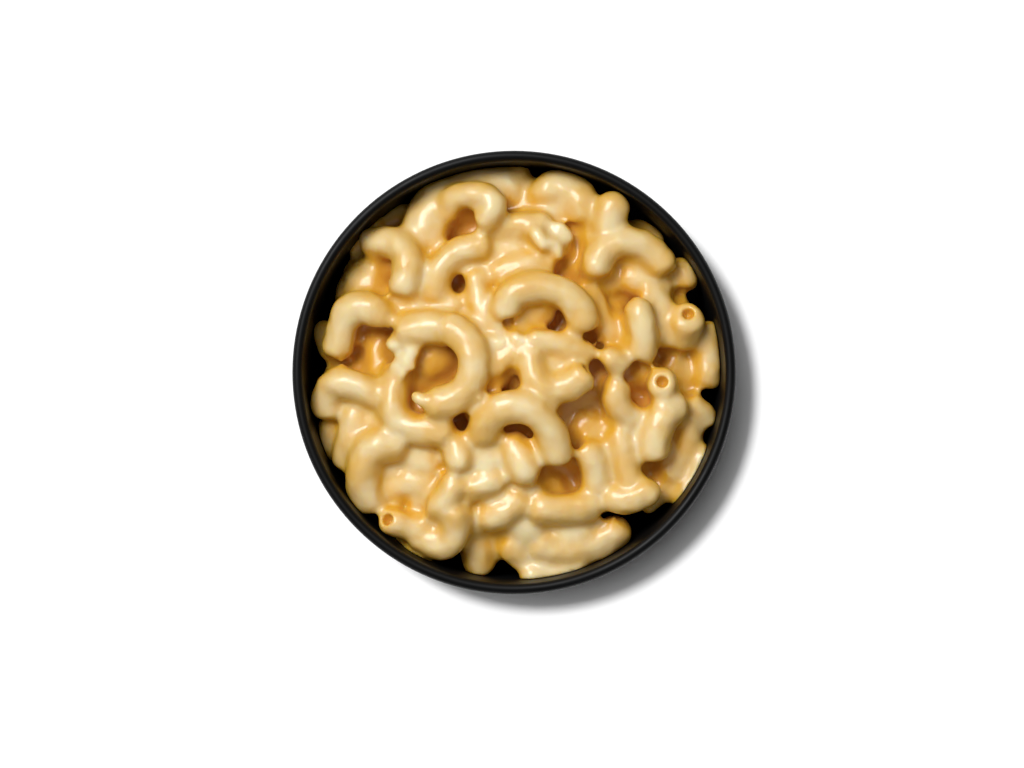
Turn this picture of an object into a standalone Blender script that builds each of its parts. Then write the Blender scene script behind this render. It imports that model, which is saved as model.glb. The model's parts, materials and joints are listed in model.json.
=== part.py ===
"""Macaroni in cheese sauce, heaped in a plain round black bowl.

Two closed solids in metres: the bowl, turned round the Z axis, and the heap of
macaroni that fills it. The origin is the middle of the bowl's flat underside,
+Z is up, and +Y is the side of the bowl that is furthest from the eater.
"""

import math
import random

import bmesh
import bpy

MM = 0.001

# The bowl.
RIM_RADIUS = 62.5 * MM
HEIGHT = 45.0 * MM
WALL = 3.0 * MM
FLOOR = 3.5 * MM
HEEL_RADIUS = 60.5 * MM
HEEL_HEIGHT = 16.0 * MM
BASE_RADIUS = 44.0 * MM
LIP_STEPS = 6
HEEL_STEPS = 6
TURN_STEPS = 64

# The heap: elbows lie round the surface of a low mound, over a bed of more macaroni
# whose edge falls away from the wall.
MOUND_TOP = 45.5 * MM
MOUND_FALL = 11.5 * MM
MOUND_RADIUS = 56.0 * MM
BED_DEPTH = 6.5 * MM
BED_RADIUS = 45.0 * MM
BED_FOOT_RADIUS = 57.0 * MM
BED_FOOT_HEIGHT = 14.0 * MM
BED_RINGS = 14
CLEARANCE = 0.3 * MM
TRIM = 1.0 * MM
ROOM_TOP = 62.0 * MM
MERGE = 0.00002

# The second layer shows only in the gaps of the first. Its elbows are spread evenly by
# a spiral and turned at random. The sizes are in millimetres, as in ELBOWS below.
LOWER_COUNT = 44
LOWER_REACH = 50.0
LOWER_TUBE = 4.4
LOWER_LIFT = -9.5
LOWER_HALF_SPAN = 7.0
LOWER_BOW = 9.0
LOWER_SEED = 11
GOLDEN_ANGLE = math.pi * (3.0 - math.sqrt(5.0))

# How the elbows become one solid: they run together, the sauce rounds the joins, and
# the mesh is thinned to flat facets.
GRAIN = 1.15 * MM
SAUCE_PASSES = 3
SAUCE_SOFTNESS = 0.5
HEAP_TRIANGLES = 6200
CURVE_STEPS = 5
TUBE_ROUNDNESS = 4

# One row for each elbow of macaroni that shows: its name, the radius of its tube, and
# the corners that its spine is drawn round. A corner is x, y and the height above the
# mound, in millimetres.
ELBOWS = (
    # upper left
    ("a0", 3.6, (-48.0, 35.0, -8.0), (-43.5, 40.5, -7.0), (-37.0, 42.0, -9.0)),
    ("a1", 4.8, (-42.6, 36.0, -2.0), (-24.5, 40.0, 4.0), (-32.2, 21.3, 1.5)),
    ("a2", 4.1, (-18.6, 43.5, -3.0), (-19.2, 50.4, 3.0), (-6.4, 50.0, 5.5), (-5.8, 44.6, 5.0), (-10.4, 41.6, 3.0)),
    ("a4", 4.2, (-19.0, 52.5, -5.5), (-10.0, 55.0, -3.5), (-2.0, 54.0, -5.0)),
    ("a5", 4.3, (0.8, 58.0, -6.5), (0.0, 53.0, -3.0), (-2.0, 46.5, -5.0)),
    # top
    ("b1", 5.6, (8.0, 47.5, -2.5), (9.5, 53.8, -1.0), (20.0, 49.4, 0.0), (19.2, 41.6, -3.0)),
    ("b2", 3.8, (-9.0, 38.5, -3.0), (-2.0, 42.6, 1.0), (10.0, 41.3, 0.5)),
    ("b3", 3.5, (5.5, 40.5, 0.5), (9.0, 35.5, 1.0), (15.0, 35.3, -2.5)),
    ("b4", 4.3, (-6.5, 36.3, 0.0), (-22.0, 35.5, 1.5), (-22.6, 20.3, -2.5)),
    ("b5", 3.4, (-25.0, 22.8, -4.0), (-20.0, 20.8, -2.5), (-14.8, 18.3, -3.5)),
    ("b6", 3.9, (-11.3, 28.4, -2.5), (-12.2, 14.0, -1.0), (-1.5, 11.2, -3.5)),
    ("b7", 4.75, (-1.8, 15.0, 0.5), (-4.0, 23.8, 3.0), (18.0, 24.0, 3.5), (20.0, 11.5, 1.0)),
    ("b8", 4.2, (-6.0, 26.0, -4.0), (2.0, 32.5, -1.0), (11.5, 28.5, -3.5)),
    ("b9", 3.8, (2.0, 15.5, -5.5), (6.5, 18.5, -3.5), (10.2, 14.8, -6.0)),
    ("b10", 4.6, (4.5, 7.5, -1.0), (4.5, -4.5, 1.0), (16.0, -5.2, 1.5), (20.8, 0.8, 3.5)),
    ("b11", 3.7, (4.0, 8.8, 0.0), (14.0, 9.0, 1.0), (22.0, 4.3, -1.5)),
    ("b12", 2.9, (-7.0, 0.3, -1.0), (-2.5, 3.0, 0.5), (1.0, 8.0, -1.0)),
    # left
    ("d1", 4.7, (-50.2, 4.5, -1.0), (-49.0, 18.3, 1.5), (-38.5, 18.8, 2.5), (-37.2, 13.5, -1.0)),
    ("d2", 4.6, (-47.0, 18.5, -9.0), (-47.5, 29.0, -7.5), (-36.5, 27.3, -9.0)),
    ("d3", 3.9, (-53.0, 14.0, -7.5), (-53.9, 10.0, -6.0), (-51.0, 4.5, -8.0)),
    ("d4", 4.5, (-52.8, -12.5, -3.0), (-54.2, -3.0, 0.0), (-44.0, -3.0, 1.0), (-37.0, -7.5, -2.5)),
    ("d5", 4.6, (-32.0, 2.0, -4.5), (-34.5, -4.0, -1.0), (-33.0, -17.5, 0.5), (-17.0, -16.3, -0.5)),
    ("d6", 4.7, (-25.6, -8.6, 2.8), (-13.0, -9.0, 3.0), (-10.0, 9.5, 3.0), (-20.0, 13.5, 2.0)),
    ("d7", 5.0, (-33.0, 11.6, 0.0), (-25.0, 13.6, 2.2), (-16.5, 11.5, -1.0)),
    ("d9", 4.3, (-38.0, 11.5, -9.0), (-39.5, 5.0, -7.5), (-37.5, -2.0, -8.0)),
    ("d10", 4.3, (-44.0, -9.5, -4.0), (-45.5, -19.0, -1.0), (-48.8, -26.8, -4.5)),
    ("d11", 4.3, (-51.5, -12.0, -8.5), (-52.5, -19.0, -7.5), (-49.0, -24.0, -9.0)),
    # lower left
    ("g1", 5.1, (-30.5, -21.0, -2.0), (-40.5, -18.3, 1.5), (-44.0, -31.0, 1.0), (-39.8, -38.5, -2.0)),
    ("g3", 4.6, (-36.5, -35.0, -5.5), (-31.5, -29.5, -3.5), (-21.5, -31.0, -5.0)),
    ("g4", 4.1, (-36.0, -41.4, 4.5), (-33.5, -43.2, -0.5), (-23.5, -45.0, 0.0)),
    ("g5", 4.6, (-28.0, -44.5, -0.5), (-24.5, -48.2, 0.5), (-15.5, -49.0, 1.0), (-16.8, -37.0, 1.5)),
    ("g6", 4.1, (-24.5, -37.5, 0.5), (-19.5, -39.0, 2.0), (-16.0, -29.5, 1.0)),
    ("g7", 4.2, (-15.2, -27.5, 1.0), (-15.8, -22.0, 1.5), (-17.5, -18.5, -3.0)),
    ("g8", 4.3, (-19.0, -31.0, -2.0), (-11.0, -34.0, 0.5), (-3.5, -29.0, -2.5)),
    ("g9", 3.8, (-32.5, -44.0, -7.0), (-27.0, -49.0, -6.0), (-20.0, -50.0, -8.0)),
    # bottom
    ("h1", 4.7, (-8.5, -19.5, -1.5), (-8.8, -9.6, 2.5), (10.0, -9.4, 4.0), (12.9, -25.5, 0.5)),
    ("h2", 4.7, (3.7, -32.3, 0.5), (3.2, -25.5, 1.5), (-1.5, -18.0, -4.0)),
    ("h3", 4.0, (-13.0, -6.5, -5.0), (-10.5, -9.5, -4.0), (-8.5, -14.0, -5.0)),
    ("h5", 4.5, (-9.3, -41.0, -2.5), (-2.0, -41.0, -1.0), (2.2, -34.0, -3.5)),
    ("h6", 4.8, (4.5, -37.3, -3.0), (14.0, -40.6, -1.0), (24.0, -36.4, -3.0)),
    ("h7", 5.2, (5.5, -47.0, -5.5), (17.5, -55.5, -3.5), (32.2, -42.2, -5.0)),
    ("h8", 4.3, (-2.5, -47.0, -6.0), (0.5, -50.5, -5.0), (3.5, -53.5, -7.0)),
    ("h9", 4.8, (-11.3, -46.0, -7.0), (-11.2, -52.0, -7.0), (-8.8, -57.2, -8.0)),
    # lower right
    ("i1", 4.6, (18.5, -21.0, -3.5), (24.8, -24.3, -2.0), (22.5, -34.0, -4.5)),
    ("i2", 3.9, (28.6, -15.5, -3.5), (31.0, -24.0, -1.0), (33.3, -32.5, -1.0)),
    ("i3", 4.2, (26.0, -33.5, -2.5), (31.5, -39.8, 1.5), (40.6, -31.5, 3.0)),
    ("i4", 4.9, (47.5, -9.0, -1.5), (38.8, -9.8, 1.5), (39.6, -25.0, 0.5)),
    ("i5", 4.6, (41.7, -2.5, 4.5), (41.9, -4.0, -2.0), (43.0, -7.5, -8.0)),
    ("i6", 4.9, (49.2, 16.8, 4.2), (49.0, 15.2, -0.5), (46.6, 7.0, -5.5)),
    ("i7", 4.4, (54.4, 14.5, -5.5), (55.8, 4.0, -4.5), (53.8, -4.0, -6.0)),
    ("i8", 3.6, (48.5, -8.0, -3.5), (53.0, -9.8, -2.5), (55.8, -15.0, -4.0)),
    ("i9", 4.8, (49.5, -12.0, -6.0), (50.3, -21.5, -4.6), (42.6, -30.8, -6.5)),
    ("i10", 3.9, (44.0, -27.5, -8.0), (42.5, -33.0, -6.0), (36.0, -38.5, -7.0)),
    ("i11", 4.4, (30.8, -2.4, -2.5), (25.6, -8.0, 0.0), (34.5, -13.8, -3.5)),
    ("i12", 4.4, (34.0, 21.6, 2.0), (35.2, 15.0, 3.0), (37.0, 8.5, 1.5), (34.6, 3.4, 0.0)),
    ("i14", 3.4, (25.0, 5.2, 0.5), (28.5, 6.0, 1.5), (31.5, 2.0, 0.0)),
    ("i13", 4.2, (19.5, -18.0, -8.0), (25.0, -16.0, -7.0), (30.5, -13.0, -8.0)),
    # upper right
    ("c1", 5.0, (28.4, 51.2, 5.0), (27.6, 45.0, 4.5), (25.5, 38.0, -1.0)),
    ("c2", 4.8, (23.5, 26.4, 0.0), (22.6, 35.4, 1.5), (38.2, 37.6, 2.5), (43.0, 27.8, 1.0)),
    ("c3", 3.5, (44.5, 30.5, -5.0), (49.5, 28.8, -3.0), (48.5, 23.8, -4.5)),
    ("c4", 4.3, (36.0, 25.5, -4.0), (43.0, 20.0, -2.0), (43.6, 7.0, -4.5)),
    ("c5", 3.6, (32.5, 41.0, -11.0), (37.5, 40.0, -9.5), (41.5, 35.5, -10.0)),
    ("c7", 3.9, (19.5, 26.0, -4.8), (23.5, 17.5, -3.2), (27.5, 9.0, -5.0)),
    ("c8", 4.1, (25.0, 24.5, -7.5), (32.0, 28.0, -5.5), (38.5, 25.0, -7.5)),
    ("c9", 3.7, (18.8, 40.5, -6.0), (18.6, 35.0, -5.0), (15.8, 29.5, -7.0)),
)

# Sauce that lies in masses and torn lumps, in rows like those above: what fills a gap,
# what is pressed against the wall, and crumbs of set sauce on top.
MASSES = (
    # over and between the elbows
    ("top_left", 7.5, (-26.0, 31.5, -6.0), (-25.6, 45.0, -4.5), (-15.5, 50.2, -4.5), (4.0, 52.0, -6.0)),
    ("left", 10.0, (-42.0, 14.5, -12.2), (-42.8, 27.2, -10.4), (-33.0, 29.5, -11.0)),
    ("top", 7.0, (4.0, 54.0, -6.0), (9.5, 46.0, -5.0), (19.0, 43.0, -6.5)),
    ("left_gap", 6.0, (-43.0, -9.0, -6.5), (-38.5, -13.5, -5.5), (-35.0, -19.0, -6.5)),
    ("lower_left", 6.5, (-31.0, -28.0, -7.0), (-25.0, -34.0, -6.0), (-17.0, -36.5, -7.0)),
    ("bottom", 6.5, (-3.0, -39.5, -7.5), (3.0, -43.0, -6.5), (10.0, -45.0, -7.5)),
    ("bottom_right", 5.5, (9.0, -46.5, -6.5), (15.5, -46.0, -6.0), (23.0, -43.0, -6.5)),
    ("upper_left_gap", 6.0, (-37.5, 18.0, -6.0), (-31.0, 20.0, -5.0), (-22.0, 18.0, -6.0)),
    ("ring_floor", 10.0, (-28.0, 10.0, -12.3), (-21.5, 4.5, -12.3), (-18.0, -3.0, -12.0)),
    ("lower_left_gap", 7.0, (-31.0, -22.5, -7.5), (-25.0, -25.0, -6.5), (-18.5, -24.5, -7.5)),
    ("lower_middle", 6.5, (-12.5, -19.0, -5.5), (-8.5, -24.0, -4.0), (-5.0, -29.0, -5.5)),
    ("lower_pit", 6.0, (-14.5, -36.0, -6.5), (-11.0, -39.0, -5.5), (-9.5, -46.0, -6.5)),
    ("centre_right", 6.5, (6.0, 6.0, -5.5), (11.5, 2.5, -4.5), (16.5, 3.5, -5.5)),
    ("upper_middle", 7.0, (-9.5, 31.0, -7.5), (-2.5, 35.5, -5.8), (5.5, 36.0, -6.5)),
    ("top_gap", 4.5, (2.0, 53.5, -6.5), (3.0, 47.5, -5.0), (3.5, 42.0, -6.0)),
    ("bottom_gap", 5.5, (0.0, -33.0, -6.5), (4.5, -33.0, -5.5), (8.0, -35.5, -6.5)),
    ("centre_left", 6.0, (-9.5, 2.5, -6.5), (-5.8, -1.0, -5.0), (-4.0, -5.5, -6.0)),
    ("centre_top", 6.0, (-3.5, 13.5, -7.0), (1.5, 13.0, -6.0), (6.0, 10.0, -7.0)),
    ("right_gap", 6.0, (27.0, 17.5, -7.0), (29.8, 12.5, -6.0), (30.5, 7.5, -7.0)),
    ("left_edge", 6.0, (-37.5, -31.0, -7.5), (-34.0, -26.5, -6.5), (-30.0, -25.0, -7.5)),
    ("right_middle", 5.5, (28.5, 28.5, -6.0), (36.0, 27.0, -4.0), (44.5, 22.0, -6.0)),
    ("right_slope", 7.0, (15.0, -12.0, -12.6), (20.0, -15.5, -10.6), (26.5, -18.0, -9.4)),
    ("right_low", 6.5, (49.0, -13.0, -9.0), (47.0, -22.0, -8.2), (40.5, -28.5, -9.0)),
    ("upper_right_gap", 6.0, (13.0, 32.0, -8.4), (18.0, 31.0, -7.6), (21.5, 24.5, -8.4)),
    ("right_knob", 5.6, (35.2, 12.5, -1.4), (36.2, 9.0, -0.8), (35.4, 5.5, -2.0)),
    ("upper_right_knee", 5.2, (25.8, 41.5, -3.0), (23.6, 37.0, -1.8), (22.9, 31.0, -1.8)),
    ("shaded_top_left", 4.0, (-39.5, 39.5, -12.0), (-32.5, 44.0, -10.0), (-28.0, 47.0, -11.0)),
    # on the wall
    ("wall_right", 3.6, (54.6, -20.5, -2.0), (52.5, -30.0, -1.5), (45.0, -37.5, -2.5)),
    ("wall_bottom", 3.4, (1.5, -57.0, -2.5), (11.0, -58.5, -1.5), (21.0, -54.5, -2.5)),
    ("wall_lower_left", 2.8, (-31.5, -49.5, -2.5), (-28.5, -52.0, -2.0), (-24.0, -54.0, -2.5)),
    # torn lumps
    ("lump_0", 2.3, (-36.0, 9.3, 0.0), (-34.0, 7.5, 1.5), (-31.5, 7.0, 1.0)),
    ("lump_1", 2.0, (-30.5, 6.5, 1.0), (-28.5, 5.5, 2.0), (-26.5, 5.5, 0.5)),
    ("lump_2", 2.2, (-32.5, 4.5, 0.5), (-30.0, 3.0, 1.5), (-27.8, 0.5, 0.5)),
    ("lump_3", 1.9, (-34.8, 3.0, 0.0), (-32.5, 0.5, 1.0), (-30.0, -1.5, 1.5)),
    ("lump_4", 2.2, (5.0, 41.0, 3.0), (7.5, 38.0, 4.5), (9.5, 34.0, 2.5)),
    ("lump_5", 2.3, (11.0, 42.0, 2.5), (14.0, 40.0, 3.5), (15.8, 36.5, 1.0)),
    ("lump_6", 2.0, (10.0, 38.0, 3.5), (12.5, 35.5, 3.5), (12.8, 31.0, 1.0)),
    ("lump_7", 2.0, (-29.0, -7.0, 4.0), (-26.5, -6.5, 6.0), (-25.0, -9.5, 4.5)),
    ("lump_8", 2.2, (-7.5, 10.0, -1.0), (-5.0, 7.5, 0.5), (-2.0, 8.5, 0.0)),
    ("lump_9", 2.0, (-5.0, 3.5, -0.5), (-2.0, 6.0, 1.0), (1.5, 5.0, 0.5)),
    ("lump_10", 1.8, (-1.0, 11.5, 0.0), (1.0, 9.0, 1.5), (3.5, 7.5, 0.5)),
    ("lump_11", 2.1, (-8.0, -1.0, -0.5), (-6.0, 1.5, 0.5), (-4.5, 2.5, 0.0)),
)


def clear_scene():
    for old in list(bpy.data.objects):
        bpy.data.objects.remove(old, do_unlink=True)


def new_collection(name):
    collection = bpy.data.collections.new(name)
    bpy.context.scene.collection.children.link(collection)
    return collection


def principled(name, colour, roughness):
    """A Principled material; colour is linear RGB."""
    material = bpy.data.materials.new(name)
    material.use_nodes = True
    shader = material.node_tree.nodes["Principled BSDF"]
    shader.inputs["Base Color"].default_value = (*colour, 1.0)
    shader.inputs["Roughness"].default_value = roughness
    shader.inputs["Metallic"].default_value = 0.0
    return material


def arc(centre, radii, start, end, steps):
    """Points along an arc of an ellipse, as (radius, height); the angles are in degrees."""
    points = []
    for step in range(steps + 1):
        angle = math.radians(start + (end - start) * step / steps)
        points.append((centre[0] + radii[0] * math.cos(angle), centre[1] + radii[1] * math.sin(angle)))
    return points


def cup(inset, floor):
    """The bowl's outer side, moved in by an inset, from the middle of its floor up to the lip."""
    heel = HEEL_RADIUS - inset
    base = BASE_RADIUS - inset
    turn = arc((base, HEEL_HEIGHT), (heel - base, HEEL_HEIGHT - floor), -90, 0, HEEL_STEPS)
    return [(0.0, floor), *turn, (RIM_RADIUS - inset, HEIGHT - WALL / 2)]


def turned(name, profile, collection):
    """A profile of (radius, height) points turned round the Z axis into a closed solid."""
    mesh = bpy.data.meshes.new(name)
    edges = [(i, i + 1) for i in range(len(profile) - 1)]
    mesh.from_pydata([(radius, 0.0, height) for radius, height in profile], edges, [])
    solid = bpy.data.objects.new(name, mesh)
    collection.objects.link(solid)
    screw = solid.modifiers.new("Turn", "SCREW")
    screw.axis = "Z"
    screw.steps = TURN_STEPS
    screw.render_steps = TURN_STEPS
    screw.use_merge_vertices = True
    screw.merge_threshold = MERGE
    screw.use_smooth_shade = True
    return solid


def mound(x, y):
    """Height of the mound that the elbows lie on."""
    return MOUND_TOP - MOUND_FALL * (x * x + y * y) / MOUND_RADIUS**2


def bed(radius):
    """Height of the macaroni under the top layer. Its edge falls away from the wall."""
    height = mound(radius, 0.0) - BED_DEPTH
    if radius <= BED_RADIUS:
        return height
    fall = min(1.0, (radius - BED_RADIUS) / (BED_FOOT_RADIUS - BED_RADIUS))
    ease = 0.5 - 0.5 * math.cos(math.pi * fall)
    return height + (BED_FOOT_HEIGHT - height) * ease


def make_bowl(collection):
    half = WALL / 2
    inside = cup(WALL, FLOOR)[:-1]
    lip = arc((RIM_RADIUS - half, HEIGHT - half), (half, half), 180, 0, LIP_STEPS)
    outside = cup(0.0, 0.0)[:-1]
    bowl = turned("bowl", [*inside, *lip, *reversed(outside)], collection)
    bowl.data.materials.append(principled("Black melamine", (0.008, 0.008, 0.008), 0.4))
    return bowl


def lower_elbows():
    """Rows like those of ELBOWS for the second layer."""
    draw = random.Random(LOWER_SEED)
    rows = []
    for index in range(LOWER_COUNT):
        reach = LOWER_REACH * math.sqrt((index + 0.5) / LOWER_COUNT)
        x = reach * math.cos(index * GOLDEN_ANGLE)
        y = reach * math.sin(index * GOLDEN_ANGLE)
        heading = draw.uniform(0.0, 2.0 * math.pi)
        along_x, along_y = math.cos(heading), math.sin(heading)
        tilt = draw.uniform(-1.5, 1.5)
        start = (x - LOWER_HALF_SPAN * along_x, y - LOWER_HALF_SPAN * along_y, LOWER_LIFT - tilt)
        bend = (x - LOWER_BOW * along_y, y + LOWER_BOW * along_x, LOWER_LIFT)
        end = (x + LOWER_HALF_SPAN * along_x, y + LOWER_HALF_SPAN * along_y, LOWER_LIFT + tilt)
        rows.append((f"lower_{index}", LOWER_TUBE, start, bend, end))
    return rows


def make_elbows(collection):
    """Every elbow and mass of sauce as a tube round its spine, all in one curve object."""
    curve = bpy.data.curves.new("elbows", "CURVE")
    curve.dimensions = "3D"
    curve.resolution_u = CURVE_STEPS
    curve.bevel_depth = MM
    curve.bevel_resolution = TUBE_ROUNDNESS
    curve.use_fill_caps = True
    for _, tube, *corners in [*ELBOWS, *lower_elbows(), *MASSES]:
        spline = curve.splines.new("NURBS")
        spline.points.add(len(corners) - 1)
        spline.order_u = 3
        spline.use_endpoint_u = True
        for point, (x, y, lift) in zip(spline.points, corners):
            height = mound(x * MM, y * MM) + lift * MM
            point.co = (x * MM, y * MM, height, 1.0)
            point.radius = tube
    elbows = bpy.data.objects.new("elbows", curve)
    collection.objects.link(elbows)
    return elbows


def make_bed(collection):
    """The bed of macaroni, a little wider than the room in the bowl, which trims it."""
    surface = []
    for ring in range(BED_RINGS + 1):
        radius = BED_FOOT_RADIUS * ring / BED_RINGS
        surface.append((radius, bed(radius)))
    wall = RIM_RADIUS - WALL + TRIM
    sides = [(wall, BED_FOOT_HEIGHT), (wall, FLOOR - TRIM), (0.0, FLOOR - TRIM)]
    return turned("bed", [*surface, *sides], collection)


def make_room(collection):
    """The room for food inside the bowl: the cavity less a small clearance, open upwards."""
    inside = cup(WALL + CLEARANCE, FLOOR + CLEARANCE)
    top = [(0.0, ROOM_TOP), (inside[-1][0], ROOM_TOP)]
    return turned("room", [*top, *reversed(inside)], collection)


def evaluated_mesh(thing):
    graph = bpy.context.evaluated_depsgraph_get()
    return bpy.data.meshes.new_from_object(thing.evaluated_get(graph), depsgraph=graph)


def keep_largest_piece(shape):
    """Removes every loose piece of a bmesh but the largest."""
    unseen = set(shape.verts)
    pieces = []
    while unseen:
        piece = {unseen.pop()}
        edge_of_piece = list(piece)
        while edge_of_piece:
            vert = edge_of_piece.pop()
            for edge in vert.link_edges:
                other = edge.other_vert(vert)
                if other not in piece:
                    piece.add(other)
                    edge_of_piece.append(other)
        unseen -= piece
        pieces.append(piece)
    pieces.sort(key=len)
    loose = [vert for piece in pieces[:-1] for vert in piece]
    bmesh.ops.delete(shape, geom=loose, context="VERTS")


def make_heap(collection, helpers):
    """Elbows and bed run together into one solid, thinned to facets and trimmed to the bowl."""
    elbows = make_elbows(helpers)
    bed_solid = make_bed(helpers)
    room = make_room(helpers)
    bpy.context.view_layer.update()
    shape = bmesh.new()
    for source in (elbows, bed_solid):
        shape.from_mesh(evaluated_mesh(source))
    rough = bpy.data.meshes.new("rough_heap")
    shape.to_mesh(rough)
    shape.free()

    heap = bpy.data.objects.new("macaroni_heap", rough)
    collection.objects.link(heap)
    remesh = heap.modifiers.new("Run together", "REMESH")
    remesh.mode = "VOXEL"
    remesh.voxel_size = GRAIN
    remesh.adaptivity = 0.0
    sauce = heap.modifiers.new("Sauce", "SMOOTH")
    sauce.iterations = SAUCE_PASSES
    sauce.factor = SAUCE_SOFTNESS
    bpy.context.view_layer.update()
    shape = bmesh.new()
    shape.from_mesh(evaluated_mesh(heap))
    keep_largest_piece(shape)
    bmesh.ops.triangulate(shape, faces=shape.faces)
    fine_triangles = len(shape.faces)
    heap.modifiers.clear()
    shape.to_mesh(rough)
    shape.free()

    thin = heap.modifiers.new("Facets", "DECIMATE")
    thin.ratio = HEAP_TRIANGLES / fine_triangles
    trim = heap.modifiers.new("Trim to the bowl", "BOOLEAN")
    trim.operation = "INTERSECT"
    trim.object = room
    heap.data.materials.append(principled("Macaroni in cheese sauce", (0.80, 0.55, 0.24), 0.35))
    return heap


def hide_helpers(helpers):
    for helper in helpers.objects:
        helper.hide_render = True
        helper.display_type = "WIRE"


def main():
    clear_scene()
    parts = new_collection("mac_and_cheese")
    helpers = new_collection("helpers")
    make_bowl(parts)
    make_heap(parts, helpers)
    hide_helpers(helpers)


main()
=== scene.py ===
"""Macaroni in cheese sauce, heaped in a plain round black bowl.

It is laid out as a Blender add-on and run as a script: each piece has its operator,
and the sizes and colours that a user would change are properties. The bowl is turned
from its profile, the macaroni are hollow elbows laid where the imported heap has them,
and the sauce is one skin drawn over all of them.
"""

import json
import math
import random

import bmesh
import bpy
from mathutils import Matrix, Vector, noise
from mathutils.bvhtree import BVHTree

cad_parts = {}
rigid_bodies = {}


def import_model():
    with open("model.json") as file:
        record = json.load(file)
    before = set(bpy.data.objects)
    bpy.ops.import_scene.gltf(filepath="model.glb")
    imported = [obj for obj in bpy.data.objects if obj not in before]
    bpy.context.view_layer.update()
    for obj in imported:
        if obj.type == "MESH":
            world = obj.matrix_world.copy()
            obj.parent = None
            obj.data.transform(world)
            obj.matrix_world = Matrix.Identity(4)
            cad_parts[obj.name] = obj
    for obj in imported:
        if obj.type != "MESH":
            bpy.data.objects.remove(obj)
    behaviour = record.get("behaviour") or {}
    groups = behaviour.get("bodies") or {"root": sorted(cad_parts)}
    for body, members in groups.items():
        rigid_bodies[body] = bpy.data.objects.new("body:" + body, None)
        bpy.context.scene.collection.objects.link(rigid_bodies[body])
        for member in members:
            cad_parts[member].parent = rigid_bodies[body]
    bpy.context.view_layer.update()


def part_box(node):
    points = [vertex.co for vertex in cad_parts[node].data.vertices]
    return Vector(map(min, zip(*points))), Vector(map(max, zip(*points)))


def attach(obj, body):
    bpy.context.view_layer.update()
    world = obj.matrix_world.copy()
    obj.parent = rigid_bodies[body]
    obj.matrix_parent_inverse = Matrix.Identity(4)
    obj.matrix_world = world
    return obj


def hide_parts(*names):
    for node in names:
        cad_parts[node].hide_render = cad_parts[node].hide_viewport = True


bl_info = {
    "name": "Mac and cheese bowl",
    "version": (1, 0, 0),
    "blender": (4, 5, 0),
    "location": "3D View > Sidebar > Mac and cheese",
    "description": "Makes a bowl of macaroni in cheese sauce round a packed model",
    "category": "Object",
}

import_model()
BOWL_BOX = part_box("bowl")

MM = 0.001

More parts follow.
